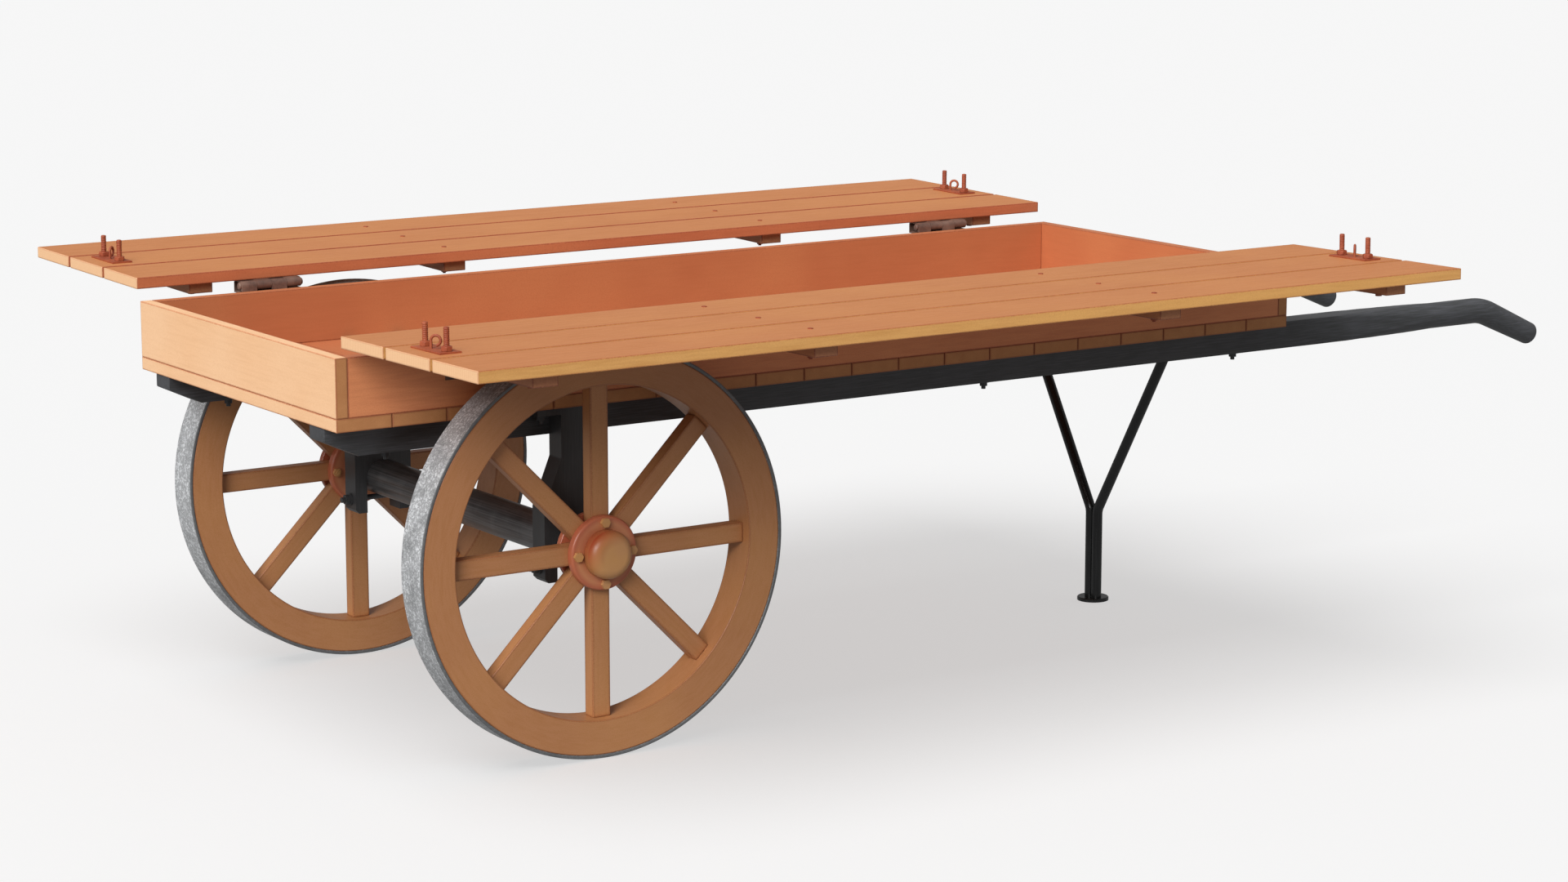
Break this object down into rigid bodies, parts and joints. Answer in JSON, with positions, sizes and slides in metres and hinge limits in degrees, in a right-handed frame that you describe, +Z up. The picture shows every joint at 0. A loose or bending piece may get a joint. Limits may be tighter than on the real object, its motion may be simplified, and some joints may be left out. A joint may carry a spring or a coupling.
{
  "type": "two-wheeled flat barrow",
  "caption": "Long shallow wooden tray on spoked wheels with an iron axle, bent shaft grips, a forked prop leg and hinged side leaves that open out as tables.",
  "frame": {"origin": "centre of the bounding box, on the ground", "axes": "+X along the barrow towards the shafts' grips, +Y to the right of a person between the shafts, +Z up"},
  "size_m": [2.7257, 1.6796, 0.7848],
  "materials": {
    "floor_wood": "oiled softwood boards",
    "tray_wood": "oiled softwood boards",
    "leaf_wood": "oiled softwood planks",
    "batten_wood": "oiled softwood battens",
    "wheel_wood": "stained hardwood",
    "black_wood": "hardwood under brushed black paint",
    "black_iron": "black satin paint over iron",
    "axle_iron": "black satin paint, worn",
    "tyre_steel": "galvanised steel band",
    "bright_steel": "machined steel",
    "hub_iron": "red-brown painted casting",
    "cap_iron": "tan painted casting",
    "rusty_iron": "rusted iron",
    "hinge_iron": "dark red-brown iron"
  },
  "bodies": {
    "chassis": {"axle": "axle_iron", "axle_fork_left": "black_iron", "axle_fork_right": "black_iron", "end_board_front": "tray_wood", "end_board_rear": "tray_wood", "floor_boards": "floor_wood", "fork_bolts": "black_iron", "fork_tie_bolts": "black_iron", "hinge_frame_plates_left": "hinge_iron", "hinge_frame_plates_right": "hinge_iron", "hinge_pins_left": "hinge_iron", "hinge_pins_right": "hinge_iron", "leg_cross_bar": "black_iron", "leg_foot_plate": "black_iron", "leg_rod_left": "black_iron", "leg_rod_right": "black_iron", "shaft_bolts": "black_iron", "shaft_left": "black_wood", "shaft_right": "black_wood", "side_board_left": "tray_wood", "side_board_right": "tray_wood", "wheel_nuts": "bright_steel", "wheel_washers": "bright_steel"},
    "wheel_left": {"tyre_left": "tyre_steel", "felloe_left": "wheel_wood", "spokes_left": "wheel_wood", "hub_barrel_left": "hub_iron", "hub_flange_inner_left": "hub_iron", "hub_flange_outer_left": "hub_iron", "hub_cap_left": "cap_iron", "hub_bolts_left": "hub_iron"},
    "leaf_left": {"leaf_plank_inner_left": "leaf_wood", "leaf_plank_middle_left": "leaf_wood", "leaf_plank_outer_left": "leaf_wood", "leaf_battens_left": "batten_wood", "leaf_fasteners_left": "rusty_iron", "stud_plates_left": "rusty_iron", "clamp_studs_left": "rusty_iron", "eye_rings_left": "rusty_iron", "hinge_leaf_plates_left": "hinge_iron"},
    "wheel_right": {"tyre_right": "tyre_steel", "felloe_right": "wheel_wood", "spokes_right": "wheel_wood", "hub_barrel_right": "hub_iron", "hub_flange_inner_right": "hub_iron", "hub_flange_outer_right": "hub_iron", "hub_cap_right": "cap_iron", "hub_bolts_right": "hub_iron"},
    "leaf_right": {"leaf_plank_inner_right": "leaf_wood", "leaf_plank_middle_right": "leaf_wood", "leaf_plank_outer_right": "leaf_wood", "leaf_battens_right": "batten_wood", "leaf_fasteners_right": "rusty_iron", "stud_plates_right": "rusty_iron", "clamp_studs_right": "rusty_iron", "eye_rings_right": "rusty_iron", "hinge_leaf_plates_right": "hinge_iron"}
  },
  "joints": [
    {"name": "wheel_spin_left", "type": "hinge", "parent": "chassis", "child": "wheel_left", "pos_m": [-0.91912, -0.4356, 0.3475], "axis": [0, 1, 0], "continuous": true},
    {"name": "wheel_spin_right", "type": "hinge", "parent": "chassis", "child": "wheel_right", "pos_m": [-0.91912, 0.4356, 0.3475], "axis": [0, 1, 0], "continuous": true},
    {"name": "leaf_fold_left", "type": "hinge", "parent": "chassis", "child": "leaf_left", "pos_m": [-0.36282, -0.3848, 0.7113], "axis": [-1, 0, 0], "range_deg": [0, 120]},
    {"name": "leaf_fold_right", "type": "hinge", "parent": "chassis", "child": "leaf_right", "pos_m": [-0.36282, 0.3848, 0.7113], "axis": [1, 0, 0], "range_deg": [0, 120]}
  ]
}
